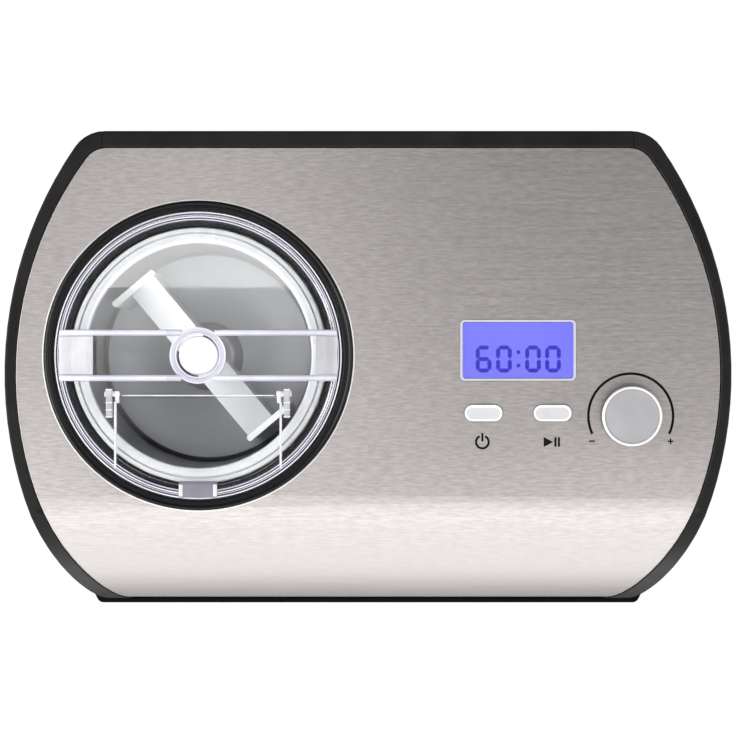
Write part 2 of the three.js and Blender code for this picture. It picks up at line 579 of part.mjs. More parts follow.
function buildFan() {
  const { x, y, z, size, depth, radius, hub, blades } = FAN;
  const half = size / 2;
  const block = box(x - half, x + half, y - depth / 2, y + depth / 2, z - half, z + half);
  const open = cut(toSolid(block), barAlongY(radius + 2, y - depth, y + depth, x, z));
  const rear = y + depth / 2;
  const motorMount = join(barAlongY(hub, rear - 3, rear, x, z, SMALL_ROUND),
    box(x - 2, x + 2, rear - 3, rear, z - radius - 4, z + radius + 4),
    box(x - radius - 4, x + radius + 4, rear - 3, rear, z - 2, z + 2));
  addPart('fan_shroud', open.add(motorMount), 'black');

  let rotor = toSolid(barAlongY(hub, y - depth / 2 + 2, rear - 4, x, z, SMALL_ROUND));
  for (let index = 0; index < blades; index += 1) {
    const blade = box(-7, 7, -0.8, 0.8, hub - 2, radius).rotateZ(THREE.MathUtils.degToRad(38));
    const angle = (index / blades) * Math.PI * 2;
    rotor = rotor.add(toSolid(blade.rotateY(angle).translate(x, y - 1, z)));
  }
  addPart('fan_rotor', rotor, 'black');
}

function buildPipes() {
  const wallX = BOWL_X + COIL.radius + COIL.tube + 1;
  const { x, y, top } = COMPRESSOR;
  const suction = [[wallX, BOWL_Y, COIL.top], [0, BOWL_Y, COIL.top], [30, 12, 184], [64, 0, 176],
    [84, -10, 168], [88, y, top + 4]];
  addPart('suction_pipe', tube(suction, 3.2, 18, 6), 'copper');
  const capillary = [[wallX, BOWL_Y, COIL.bottom], [0, BOWL_Y, COIL.bottom], [10, 22, 82], [12, 40, 74],
    [13, 48, 67]];
  addPart('capillary_tube', tube(capillary, 1.3, 14, 5), 'copper');
  const drier = [[0, 30], [2.5, 30], [8, 36], [8, 58], [2.5, 64], [0, 64]];
  addPart('filter_drier', turned(drier, 13, 50, SMALL_ROUND), 'copper');
  const discharge = [[x + 12, y, top + 4], [x + 24, 2, 159], [x + 40, 30, 150], [x + 50, 60, 138],
    [x + 50, 70, 128]];
  addPart('discharge_pipe', tube(discharge, 2.6, 16, 6), 'copper');
}

// ---- drive -------------------------------------------------------------------------------

// An involute spur gear, thinned at each flank by a share of the backlash.
function gearShape(teeth, boreRadius, turn) {
  const pitch = (GEAR.module * teeth) / 2;
  const baseRadius = pitch * Math.cos(THREE.MathUtils.degToRad(20));
  const tip = pitch + GEAR.module * 0.8;
  const root = pitch - GEAR.module * 1.15;
  const involute = (radius) => {
    const roll = Math.sqrt(Math.max(0, (radius / baseRadius) ** 2 - 1));
    return roll - Math.atan(roll);
  };
  const halfTooth = Math.PI / (2 * teeth) - GEAR.backlash / (2 * pitch) + involute(pitch);
  const flank = [Math.max(root + 0.2, baseRadius), tip];
  const points = [];
  const at = (radius, angle) => {
    points.push(new THREE.Vector2(radius * Math.cos(angle), radius * Math.sin(angle)));
  };
  for (let tooth = 0; tooth < teeth; tooth += 1) {
    const centre = turn + (tooth / teeth) * Math.PI * 2;
    at(root, centre - halfTooth + involute(flank[0]));
    flank.forEach((radius) => at(radius, centre - halfTooth + involute(radius)));
    [...flank].reverse().forEach((radius) => at(radius, centre + halfTooth - involute(radius)));
    at(root, centre + halfTooth - involute(flank[0]));
  }
  const shape = new THREE.Shape(points);
  shape.holes.push(new THREE.Path(circlePoints(boreRadius, SMALL_ROUND)));
  return shape;
}

function buildDrive() {
  const gear = prism(gearShape(GEAR.teeth, SHAFT.radius + GAP, 0), GEAR.bottom, GEAR.top);
  addPart('drive_gear', placeOverBowl(gear), 'white');
  const shaftOutline = [[0, SHAFT.bottom], [SHAFT.radius, SHAFT.bottom], [SHAFT.radius, SHAFT.top - 2],
    [SHAFT.radius - 2, SHAFT.top], [0, SHAFT.top]];
  addPart('drive_shaft', turned(shaftOutline, BOWL_X, BOWL_Y, 24), 'steel');

  const pinionTurn = Math.PI + Math.PI / GEAR.pinionTeeth;
  const pinion = prism(gearShape(GEAR.pinionTeeth, 2.2, pinionTurn), GEAR.bottom, GEAR.top);
  const spindle = disc(2.5, 38, GEAR.top + 1, 0, 0, 16);
  addPart('motor_pinion', toGeometry(join(pinion, spindle)).translate(MOTOR_X, BOWL_Y, 0), 'steel');

  const { radius: canRadius, bore: canBore, bottom: canBottom, top: canTop, chamfer } = MOTOR;
  const can = [[canBore, canBottom], [canRadius, canBottom], [canRadius, canTop - chamfer / 2],
    [canRadius - chamfer, canTop], [canBore, canTop]];
  addPart('drive_motor', turned(can, MOTOR_X, BOWL_Y, 32), 'iron');

  const { length, width, corner, wall, floor, floorTop, seam, top } = GEARBOX;
  const middleX = BOWL_X + GEARBOX.offset;
  const plan = roundedRectangle(length, width, corner, middleX, BOWL_Y);
  const pocket = roundedRectangle(length - 2 * wall, width - 2 * wall, corner - wall,
    middleX, BOWL_Y);
  const boss = disc(BEARING.outer + 0.4, 0, top + 10, BOWL_X, BOWL_Y, 24);
  const motorHole = disc(MOTOR.bore, 0, top, MOTOR_X, BOWL_Y, SMALL_ROUND);
  const tray = cut(toSolid(prism(plan, floor, seam)), prism(pocket, floorTop, top), boss, motorHole);
  addPart('gearbox_housing', tray, 'grey');
  addPart('gearbox_cover', cut(toSolid(prism(plan, seam + GAP, top)), boss), 'grey');
  const { inner: bearingInner, outer: bearingOuter, height } = BEARING;
  const bearing = (z) => ring(bearingInner, bearingOuter, z, z + height, BOWL_X, BOWL_Y, 24);
  addPart('lower_bearing', bearing(BEARING.lower), 'steel');
  addPart('upper_bearing', bearing(BEARING.upper), 'steel');
}

// ---- controls ----------------------------------------------------------------------------

function buildDisplay() {
  const { x, y, width, depth, corner, frame } = DISPLAY;
  const outer = roundedRectangle(width, depth, corner - 0.3, x, y);
  const hole = roundedRectangle(width - 2 * frame, depth - 2 * frame, corner - 1.2, x, y);
  const glass = roundedRectangle(width - 2 * frame - 0.5, depth - 2 * frame - 0.5, corner - 1.4, x, y);
  addPart('display_frame', cut(toSolid(prism(outer, 207, 214.8)), prism(hole, 200, 220)), 'white');
  addPart('display_window', prism(glass, 212.4, 214.4), 'clear');
  addPart('display_module', box(x - 30, x + 30, y - 15, y + 15, 199, 212), 'screen');
}

function buildControls() {
  BUTTON.xs.forEach((x, index) => {
    const names = ['power_button', 'start_pause_button'];
    const cap = roundedRectangle(BUTTON.length, BUTTON.width, BUTTON.width / 2 - 0.1, x, BUTTON.y, 5);
    addPart(names[index], prism(cap, BUTTON.bottom, BUTTON.top), 'white');
    const body = box(x - SWITCH.half, x + SWITCH.half, BUTTON.y - SWITCH.half, BUTTON.y + SWITCH.half,
      SWITCH_Z, SWITCH.top);
    const plungerTop = BUTTON.bottom - SWITCH.travel;
    const plunger = disc(SWITCH.plunger, SWITCH.top - 1, plungerTop, x, BUTTON.y, SMALL_ROUND);
    addPart(`tact_switch_${index + 1}`, join(body, plunger), 'black');
  });
  const { radius, bottom, top, stem } = KNOB;
  const outline = [[0, KNOB.stemBottom], [stem, KNOB.stemBottom], [stem, bottom], [radius, bottom],
    [radius, top - 1.4], [radius - 0.5, top - 0.3], [radius - 1, top], [radius - 1.5, top - 0.4],
    [radius - 1.6, top - 1], [0, top - 1]];
  addPart('control_knob', turned(outline, KNOB.x, KNOB.y, 32), 'white');
  const { half } = ENCODER;
  const encoder = box(KNOB.x - half, KNOB.x + half, KNOB.y - half, KNOB.y + half,
    SWITCH_Z, ENCODER.top);
  addPart('rotary_encoder', encoder, 'grey');
}

function buildBoards() {
  const { x0, x1, y0, y1, bottom, thickness } = CONTROL_BOARD;
  addPart('control_board', box(x0, x1, y0, y1, bottom, bottom + thickness), 'board');

  const power = POWER_BOARD;
  const onBoard = power.y1 - 0.6;
  const plate = box(power.x0, power.x1, power.y0, power.y1, power.z0, power.z1);
  const blocks = [TRANSFORMER, RELAY].map(
    ({ x0, x1, y1, z0, z1 }) => box(x0, x1, onBoard, y1, z0, z1));
  const { radius, x, y0: canStart, y1: canEnd, z } = CAPACITOR;
  const capacitor = barAlongY(radius, canStart, canEnd, x, z, SMALL_ROUND);
  addPart('power_board', join(plate, capacitor, ...blocks), 'board');
}

buildBase();
buildShell();
buildGland();
buildCover();
buildBezel();
buildBowl();
buildLid();
buildFlap();
buildPaddle();
buildChamber();
buildCompressor();
buildCondenser();
buildFan();
buildPipes();
buildDrive();
buildDisplay();
buildControls();
buildBoards();

export default group;
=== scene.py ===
"""Looks of a countertop ice cream maker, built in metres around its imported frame."""
import math
import bmesh
import bpy
from mathutils import Matrix, Vector


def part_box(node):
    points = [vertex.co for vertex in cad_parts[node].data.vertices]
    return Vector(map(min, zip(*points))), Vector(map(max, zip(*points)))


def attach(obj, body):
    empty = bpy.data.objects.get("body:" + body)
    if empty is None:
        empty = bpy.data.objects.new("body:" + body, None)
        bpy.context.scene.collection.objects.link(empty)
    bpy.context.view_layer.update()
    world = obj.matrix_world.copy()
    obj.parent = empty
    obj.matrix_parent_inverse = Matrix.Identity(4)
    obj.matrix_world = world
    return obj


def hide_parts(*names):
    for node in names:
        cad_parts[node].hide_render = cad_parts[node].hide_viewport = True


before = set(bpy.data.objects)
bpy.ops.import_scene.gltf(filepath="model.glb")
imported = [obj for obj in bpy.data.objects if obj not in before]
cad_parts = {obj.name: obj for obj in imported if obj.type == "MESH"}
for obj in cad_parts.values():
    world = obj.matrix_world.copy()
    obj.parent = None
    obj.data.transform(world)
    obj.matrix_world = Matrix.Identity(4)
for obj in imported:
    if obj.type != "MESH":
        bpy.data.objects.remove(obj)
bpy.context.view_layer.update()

MM = 0.001
ROUND = 160  # facets on a large circle
SMALL_ROUND = 96
SHARP_ANGLE = math.radians(32)
SEAM_X = 146  # the rear panel meets the side panels here
PANEL_TOP = 214  # edges of the panels above this height are rounded

# The clear handle over the lid: two ribs and a sloping plate at each end.
RIB_OFFSET = 12.4
RIB_THICK = 3.4
RIB_SIDE = ((-76.2, 213.6), (-9.0, 213.6), (-9.0, 221.0), (-17.0, 227.0), (-56.0, 227.0),
            (-64.5, 224.6), (-72.0, 220.6), (-76.2, 218.2))
RIB_CAP = ((-76.2, 217.6), (-72.0, 220.2), (-64.5, 224.2), (-56.0, 226.6), (-17.0, 226.6),
           (-9.0, 220.6), (-9.0, 221.4), (-17.0, 227.1), (-56.0, 227.1), (-64.5, 224.8),
           (-72.0, 220.8), (-76.2, 218.4))
RAMP_ENDS = ((-1, 57.0), (1, 65.0))
# Fine lines moulded round the lid's rim, drawn white and lilac as painted highlights: inner radius,
# outer radius, top, material.
RIM_LINES = ((78.2, 78.9, 217.05, "painted_highlight_white"), (76.9, 77.4, 217.0, "painted_highlight_lilac"),
             (75.8, 76.5, 217.05, "painted_highlight_white"), (74.4, 75.1, 216.4, "painted_highlight_lilac"))

FLAP_HALF = 46.0
FLAP_RADIUS = 72.0
HINGE_Y = -21.2
HINGE_Z = 216.6
PIN_RADIUS = 1.6
SOCKET_RADIUS = 2.1

WING_HALF = 8.4
WING_SKIN = 2.4
WING_LOW = 88.0
WING_ROOT = 7.6
WING_TIP = 54.5
PADDLE_TURN = math.radians(130)

SEGMENT_THICK = 2.25
SEGMENT_GAP = 0.12
DIGIT_WIDTH = 8.7
DIGIT_HEIGHT = 14.9
DIGIT_LEFTS = (-23.3, -12.1, 3.9, 14.9)
LIT = {"6": "acdefg", "0": "abcdef"}
PRINT_THICK = 0.06
SIGN_LONG = 3.2  # the plus and minus signs
SIGN_THICK = 0.8
# Display and button outlines: width, depth.
DISPLAY_RIM = (63.7, 33.7)
DISPLAY_OPENING = (61.1, 31.1)
DISPLAY_SCREEN = (60.6, 30.6)
COLON_DOT = (2.0, 2.0)
BUTTON_CAP = (20.8, 9.0)
BUTTON_DISH = (18.2, 6.4)
BUTTON_PAD = (18.1, 6.3)
BUTTON_LINER = (21.55, 9.75)
BUTTON_BORE = (21.0, 9.2)
CORNER_STEPS = 16

FRONT_GRAIN = 0.3  # how much of the steel's grain shows on the bright bent front, where it is drawn weaker as a painted highlight wash
GRAIN_HIGHLIGHT_FADE = (-0.11, -0.06)  # where that painted highlight wash fades the grain, from the front to the flat top

CAMERA_RISE = 1.8  # above the steel top
CAMERA_Y = 0.006
VIEW_WIDTH = 0.4048  # what the picture's width covers at the steel top
SENSOR = 36.0
# The card mirrored in the flat lid: bright beyond its edge, fading in front of it.
CARD = {"x": -0.152, "y": 0.0172, "z": 1.35, "radius": 0.104, "edge": 0.0775, "light": 8.0}
CARD_FADE = {"from": -0.06, "light": 3.8}
FLOOR_GLOW = 0.92  # keeps the paper white in the picture without lighting the machine from below
FLOOR_SHINE = 1.15  # a glow on the paper, seen only in reflections, standing in for the lit paper ahead of the machine that the bent steel front sees
FLOOR_PAINTED_SHADE_FADE = (-0.26, -0.175)  # where that glow fades to painted shade, from ahead to the machine
WORLD_LIGHT = 0.245
# Softboxes: name, place, what it faces, width, height, watts.
SOFTBOXES = (("overhead_box", (-0.34, -0.92, 1.15), (-0.34, -0.92, 0.0), 2.1, 1.6, 10.5),
             ("front_box", (0.0, -2.2, 0.9), (0.0, 0.0, 0.15), 5.0, 1.8, 30.5),
             ("left_box", (-1.6, 0.0, 1.5), (0.0, 0.0, 0.1), 1.6, 1.6, 39),
             ("right_box", (1.9, 0.2, 1.2), (0.0, 0.0, 0.1), 1.6, 1.6, 23))
WORLD_SEEN = 1.0

# ---- places, all taken from the frame ----------------------------------------------------


def centre_of(node):
    low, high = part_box(node)
    return (Vector(low) + Vector(high)) / 2


def top_of(node):
    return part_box(node)[1][2]


BOWL_CENTRE = centre_of("freezer_bowl")
COVER_TOP = top_of("top_front_cover")
DISPLAY_CENTRE = centre_of("display_frame")
KNOB_CENTRE = centre_of("control_knob")
BUTTON_CENTRES = {name: centre_of(name) for name in ("power_button", "start_pause_button")}

# ---- shader helpers ----------------------------------------------------------------------


class Shader:
    """A procedural material: one Principled shader whose inputs come from noise."""

    def __init__(self, name, color, roughness, metallic=0.0, **inputs):
        self.material = bpy.data.materials.new(name)
        self.material.use_nodes = True
        self.tree = self.material.node_tree
        self.shader = self.tree.nodes["Principled BSDF"]
        self.shader.inputs["Base Color"].default_value = (*color, 1.0)
        self.shader.inputs["Roughness"].default_value = roughness
        self.shader.inputs["Metallic"].default_value = metallic
        for label, value in inputs.items():
            self.shader.inputs[label.replace("_", " ")].default_value = value
        self.coordinates = self.node("ShaderNodeTexCoord").outputs["Object"]
        self.normal = None

    def node(self, kind, **settings):
        node = self.tree.nodes.new(kind)
        for label, value in settings.items():
            setattr(node, label, value)
        return node

    def link(self, output, target):
        self.tree.links.new(output, target)

    def noise(self, scale, detail=3.0, roughness=0.55, stretch=(1.0, 1.0, 1.0)):
        mapping = self.node("ShaderNodeMapping")
        mapping.inputs["Scale"].default_value = stretch
        self.link(self.coordinates, mapping.inputs["Vector"])
        noise = self.node("ShaderNodeTexNoise")
        noise.inputs["Scale"].default_value = scale
        noise.inputs["Detail"].default_value = detail
        noise.inputs["Roughness"].default_value = roughness
        self.link(mapping.outputs["Vector"], noise.inputs["Vector"])
        return noise.outputs["Fac"]

    def spread(self, value, low, high, start=0.35, end=0.65):
        """The value's start..end range mapped to low..high."""
        spread = self.node("ShaderNodeMapRange")
        spread.inputs["From Min"].default_value = start
        spread.inputs["From Max"].default_value = end
        spread.inputs["To Min"].default_value = low
        spread.inputs["To Max"].default_value = high
        self.link(value, spread.inputs["Value"])
        return spread.outputs["Result"]

    def color_between(self, value, first, second, target="Base Color"):
        mix = self.node("ShaderNodeMix", data_type="RGBA")
        colours = [socket for socket in mix.inputs if socket.type == "RGBA"]
        colours[0].default_value = (*first, 1.0)
        colours[1].default_value = (*second, 1.0)
        mixed = [socket for socket in mix.outputs if socket.type == "RGBA"][0]
        self.link(value, mix.inputs["Factor"])
        self.link(mixed, self.shader.inputs[target])

    def rough_between(self, value, low, high):
        self.link(self.spread(value, low, high), self.shader.inputs["Roughness"])

    def bump(self, value, distance, strength=1.0):
        bump = self.node("ShaderNodeBump")
        bump.inputs["Strength"].default_value = strength
        bump.inputs["Distance"].default_value = distance
        self.link(value, bump.inputs["Height"])
        if self.normal is not None:
            self.link(self.normal, bump.inputs["Normal"])
        self.normal = bump.outputs["Normal"]
        self.link(self.normal, self.shader.inputs["Normal"])

    def lets_shadows_through(self, amount):
        """Clear plastic casts only a faint shadow, as a thin moulding does."""
        path = self.node("ShaderNodeLightPath")
        clear = self.node("ShaderNodeBsdfTransparent")
        clear.inputs["Color"].default_value = (amount, amount, amount, 1.0)
        mix = self.node("ShaderNodeMixShader")
        self.link(path.outputs["Is Shadow Ray"], mix.inputs["Fac"])
        self.link(self.shader.outputs["BSDF"], mix.inputs[1])
        self.link(clear.outputs["BSDF"], mix.inputs[2])
        output = self.tree.nodes["Material Output"]
        self.link(mix.outputs["Shader"], output.inputs["Surface"])


# ---- materials ---------------------------------------------------------------------------


def brushed_steel():
    """Steel with short grain from side to side; on the bright bent front the grain is drawn weaker,
    a painted highlight wash.
    """
    shader = Shader("steel_brushed", (0.62, 0.585, 0.57), 0.34, 1.0, Anisotropic=0.4)
    tangent = shader.node("ShaderNodeTangent", direction_type="RADIAL", axis="X")
    shader.link(tangent.outputs["Tangent"], shader.shader.inputs["Tangent"])
    short_grain = shader.noise(1.0, 3.0, 0.6, stretch=(150.0, 850.0, 850.0))
    long_streaks = shader.noise(1.0, 2.0, 0.5, stretch=(20.0, 900.0, 900.0))
    across = shader.node("ShaderNodeSeparateXYZ")
    shader.link(shader.coordinates, across.inputs["Vector"])
    grain = shader.node("ShaderNodeMix", data_type="FLOAT")
    grain.inputs["A"].default_value = 0.5
    # painted highlight wash: the grain is mixed towards an even tone on the bent front
    amount = shader.spread(across.outputs["Y"], FRONT_GRAIN, 1.0, *GRAIN_HIGHLIGHT_FADE)
    shader.link(amount, grain.inputs["Factor"])
    shader.link(shader.spread(short_grain, 0.0, 1.0), grain.inputs["B"])
    shader.color_between(grain.outputs["Result"], (0.55, 0.514, 0.504), (0.70, 0.66, 0.645))
    shader.rough_between(long_streaks, 0.32, 0.37)
    shader.bump(short_grain, 0.000006, 0.5)
    return shader.material


def satin_plastic(name, color, roughness=0.42, shine=0.5):
    shader = Shader(name, color, roughness, Specular_IOR_Level=shine)
    grain = shader.noise(2600.0, 2.0)
    cloud = shader.noise(30.0, 4.0)
    lighter = tuple(min(1.0, part * 1.2 + 0.002) for part in color)
    shader.color_between(shader.spread(cloud, 0.0, 1.0), color, lighter)
    shader.rough_between(cloud, roughness - 0.05, roughness + 0.06)
    shader.bump(grain, 0.00004, 0.35)
    return shader.material


def gloss_plastic(name, color, roughness=0.16, shine=0.5, coat=0.3):
    shader = Shader(name, color, roughness, Specular_IOR_Level=shine, Coat_Weight=coat)
    cloud = shader.noise(45.0, 3.0)
    slightly_darker = tuple(part * 0.93 for part in color)
    shader.color_between(shader.spread(cloud, 0.0, 1.0), slightly_darker, color)
    shader.rough_between(cloud, roughness - 0.03, roughness + 0.05)
    shader.bump(shader.noise(350.0, 2.0), 0.00002, 0.15)
    return shader.material


def clear_plastic(name, tint=(0.97, 0.985, 0.99), roughness=0.01, ior=1.47):
    shader = Shader(name, tint, roughness, Transmission_Weight=1.0, IOR=ior)
    waves = shader.noise(25.0, 1.0)
    shader.rough_between(waves, roughness, roughness + 0.015)
    shader.bump(waves, 0.00004, 0.06)
    shader.lets_shadows_through(0.985)
    return shader.material


def clear_with_painted_light(name, color, clarity):
    """The edges and thick ribs of the clear moulding, drawn white, lilac or grey: painted
    highlights and painted shade in place of the light on clear plastic.
    """
    shader = Shader(name, color, 0.14, Transmission_Weight=clarity, IOR=1.47)
    cloud = shader.noise(90.0, 3.0)
    slightly_darker = tuple(part * 0.9 for part in color)
    shader.color_between(shader.spread(cloud, 0.0, 1.0), slightly_darker, color)
    shader.rough_between(cloud, 0.1, 0.2)
    shader.lets_shadows_through(0.9)
    return shader.material


def metal(name, color, roughness, grain=0.14, bump=0.3):
    shader = Shader(name, color, roughness, 1.0)
    lines = shader.noise(700.0, 3.0, 0.6)
    darker = tuple(part * (1 - grain) for part in color)
    shader.color_between(shader.spread(lines, 0.0, 1.0), darker, color)
    shader.rough_between(lines, roughness - grain / 4, roughness + grain / 4)
    shader.bump(lines, 0.00001, bump)
    return shader.material


def backlit_screen():
    shader = Shader("screen_backlit", (0.01, 0.01, 0.05), 0.35)
    cloud = shader.spread(shader.noise(14.0, 1.0), 0.0, 1.0)
    shader.color_between(cloud, (0.19, 0.19, 1.0), (0.22, 0.22, 1.0), "Emission Color")
    shader.shader.inputs["Emission Strength"].default_value = 0.9
    return shader.material


def glowing_ink(name, color, strength):
    unlit = tuple(part * 0.03 for part in color)
    shader = Shader(name, unlit, 0.5)
    cloud = shader.noise(200.0, 2.0)
    darker = tuple(part * 0.8 for part in unlit)
    shader.color_between(shader.spread(cloud, 0.0, 1.0), darker, unlit)
    shader.shader.inputs["Emission Color"].default_value = (*color, 1.0)
    shader.shader.inputs["Emission Strength"].default_value = strength
    return shader.material


MATERIALS = {
    "steel": brushed_steel(),
    "black": satin_plastic("abs_black", (0.010, 0.009, 0.009), 0.42, 0.15),
    # the base is drawn a deeper, duller black than the other black plastic: a real black part, and
    # painted shade for the dark shadow line along the front edge
    "base": satin_plastic("abs_black_base_and_painted_shade", (0.002, 0.002, 0.002), 0.6, 0.05),
    "bezel": gloss_plastic("bezel_black", (0.004, 0.004, 0.005), 0.25, 0.25, 0.0),
    "rubber": satin_plastic("rubber_black", (0.02, 0.02, 0.02), 0.75),
    "clear": clear_plastic("lid_clear"),
    "window": clear_plastic("window_clear", (0.99, 0.99, 1.0), 0.2, 1.15),
    # clear plastic drawn white, lilac and grey for the lid's edges, ribs, ramps, knuckles and flap:
    # painted highlights and painted shade
    "painted_highlight_white": clear_with_painted_light("lid_edge_white", (0.80, 0.80, 0.84), 0.15),
    "ramp": clear_with_painted_light("lid_ramp_white", (0.66, 0.66, 0.69), 0.5),
    "tab": clear_with_painted_light("flap_tab_grey", (0.36, 0.36, 0.41), 0.5),
    # near-white metal for the steel's rolled edge: a painted highlight line
    "painted_highlight_edge": metal("painted_highlight_edge", (0.97, 0.96, 0.95), 0.5, 0.03, 0.0),
    "painted_highlight_lilac": clear_with_painted_light("lid_edge_lilac", (0.70, 0.69, 0.80), 0.35),
    "aluminium": metal("aluminium_bowl", (0.37, 0.37, 0.38), 0.33, 0.03, 0.0),
    "plain_metal": metal("aluminium_plain", (0.65, 0.66, 0.67), 0.4),
    "white": gloss_plastic("plastic_white", (0.60, 0.60, 0.62), 0.25),
    "paddle": gloss_plastic("paddle_white", (0.84, 0.84, 0.845), 0.4),
    "hub_cap": gloss_plastic("paddle_cap_white", (0.95, 0.96, 0.95), 0.35),
    "button": gloss_plastic("button_white", (0.66, 0.66, 0.68), 0.3),
    "knob_face": satin_plastic("knob_grey", (0.36, 0.355, 0.37), 0.35),
    "knob_rim": gloss_plastic("knob_rim_white", (0.92, 0.92, 0.92), 0.25),
    "screen": backlit_screen(),
    "digit_ink": glowing_ink("digit_blue", (0.004, 0.004, 0.50), 1.0),
    "print_ink": satin_plastic("print_black", (0.004, 0.004, 0.004), 0.5, 0.1),
    "copper": metal("copper_tube", (0.80, 0.42, 0.26), 0.3),
    "bronze": metal("bronze_bearing", (0.55, 0.40, 0.22), 0.4),
    "foam": satin_plastic("foam_cream", (0.75, 0.68, 0.48), 0.85),
    "compressor": satin_plastic("paint_black", (0.02, 0.02, 0.022), 0.35),
    "grey": satin_plastic("abs_grey", (0.22, 0.22, 0.23), 0.5),
    "natural": satin_plastic("acetal_cream", (0.78, 0.76, 0.68), 0.4),
    "board": satin_plastic("board_green", (0.02, 0.16, 0.06), 0.35),
}

# ---- mesh helpers ------------------------------------------------------------------------


def shade(mesh):
    mesh.shade_smooth()
    mesh.set_sharp_from_angle(angle=SHARP_ANGLE)


def make_object(name, mesh, material):
    mesh.materials.clear()
    mesh.materials.append(MATERIALS[material])
    shade(mesh)
    piece = bpy.data.objects.new(name, mesh)
    bpy.context.collection.objects.link(piece)
    return piece


def from_bmesh(name, working, material):
    bmesh.ops.recalc_face_normals(working, faces=working.faces)
    mesh = bpy.data.meshes.new(name)
    working.to_mesh(mesh)
    working.free()
    return make_object(name, mesh, material)


def soften(piece, width, segments=3, angle=35, clamp=True):
    bevel = piece.modifiers.new("edge", "BEVEL")
    bevel.width = width * MM
    bevel.segments = segments
    bevel.limit_method = "ANGLE"
    bevel.angle_limit = math.radians(angle)
    bevel.harden_normals = True
    bevel.use_clamp_overlap = clamp
    return piece


def place(piece, body, slot, *replaced):
    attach(piece, body)
    if replaced:
        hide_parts(*replaced)
    return piece


def turned(name, outline, centre, material, facets=ROUND):
    """A solid of revolution about a vertical axis, from [radius, height] points in millimetres."""
    working = bmesh.new()
    rings = []
    for radius, height in outline:
        if radius == 0:
            rings.append([working.verts.new((centre[0], centre[1], height * MM))])
            continue
        ring = []
        for index in range(facets):
            turn = 2 * math.pi * index / facets
            x = centre[0] + radius * MM * math.cos(turn)
            y = centre[1] + radius * MM * math.sin(turn)
            ring.append(working.verts.new((x, y, height * MM)))
        rings.append(ring)
    closed = outline[0][0] != 0
    count = len(rings)
    for first in range(count if closed else count - 1):
        low, high = rings[first], rings[(first + 1) % count]
        for index in range(facets):
            after = (index + 1) % facets
            near = [low[index % len(low)], low[after % len(low)]]
            far = [high[after % len(high)], high[index % len(high)]]
            unique = list(dict.fromkeys(near + far))
            if len(unique) > 2:
                working.faces.new(unique)
    return from_bmesh(name, working, material)


def prism(name, outline, low, high, material):
    """An upright prism from an outline of (x, y) points in millimetres."""
    working = bmesh.new()
    bottom = [working.verts.new((x * MM, y * MM, low * MM)) for x, y in outline]
    top = [working.verts.new((x * MM, y * MM, high * MM)) for x, y in outline]
    working.faces.new(bottom)
    working.faces.new(top)
    count = len(outline)
    for index in range(count):
        after = (index + 1) % count
        working.faces.new((bottom[index], bottom[after], top[after], top[index]))
    return from_bmesh(name, working, material)


def combine(piece, tool, operation="UNION"):
    """Joins or cuts piece with tool, which is used up."""
    modifier = piece.modifiers.new("combine", "BOOLEAN")
    modifier.operation = operation
    modifier.object = tool
    modifier.solver = "EXACT"
    graph = bpy.context.evaluated_depsgraph_get()
    result = bpy.data.meshes.new_from_object(piece.evaluated_get(graph))
    piece.modifiers.remove(modifier)
    piece.data = result
    bpy.data.objects.remove(tool)
    shade(result)
    return piece


def arc(x, y, radius, start, end, steps):
    """Points of an arc, in degrees, both ends included."""
    turns = [math.radians(start + (end - start) * step / steps) for step in range(steps + 1)]
    return [(x + radius * math.cos(turn), y + radius * math.sin(turn)) for turn in turns]


def rounded_rectangle(x, y, width, depth, corner, steps=8):
    right, left = x + width / 2 - corner, x - width / 2 + corner
    back, front = y + depth / 2 - corner, y - depth / 2 + corner
    return (arc(right, front, corner, -90, 0, steps) + arc(right, back, corner, 0, 90, steps)
            + arc(left, back, corner, 90, 180, steps) + arc(left, front, corner, 180, 270, steps))


def welded(node):
    """The CAD node's mesh with its double corners and flat-face cuts removed."""
    working = bmesh.new()
    working.from_mesh(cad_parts[node].data)
    bmesh.ops.remove_doubles(working, verts=working.verts, dist=1e-6)
    flat = math.radians(0.6)
    bmesh.ops.dissolve_limit(working, angle_limit=flat, verts=working.verts, edges=working.edges)
    return working


def refined(node, body, slot, material, edge=0.0, segments=2):
    """A smooth-shaded copy of a CAD node, with its sharp edges rounded."""
    piece = from_bmesh(node + "_skin", welded(node), material)
    if edge:
        soften(piece, edge, segments)
    return place(piece, body, slot, node)


def rounded_panel(node, slot):
    """A housing panel whose top edges are rounded, but not the seams between the panels."""
    working = welded(node)
    weights = working.edges.layers.float.new("bevel_weight_edge")
    for edge in working.edges:
        high = all(corner.co.z > PANEL_TOP * MM for corner in edge.verts)
        along_seam = all(abs(abs(corner.co.x) - SEAM_X * MM) < MM for corner in edge.verts)
        if high and not along_seam and edge.calc_face_angle(0) > SHARP_ANGLE:
            edge[weights] = 1.0
    piece = from_bmesh(node + "_skin", working, "black")
    bevel = soften(piece, 1.2, 4, clamp=False).modifiers["edge"]
    bevel.limit_method = "WEIGHT"
    return place(piece, "root", slot, node)


# ---- housing -----------------------------------------------------------------------------


def build_housing():
    refined("top_front_cover", "root", "steel_cover", "steel", 0.45, 3)
    rounded_panel("side_panel_left", "side_panels")
    rounded_panel("side_panel_right", "side_panels")
    rounded_panel("rear_panel", "rear_panel")
    refined("base_tray", "root", "base", "base", 0.8, 3)
    for index in range(1, 5):
        refined(f"rubber_foot_{index}", "root", "rubber", "rubber")
        refined(f"base_screw_{index}", "root", "screw", "plain_metal")
    refined("mains_cord_gland", "root", "rubber", "rubber", 0.3)


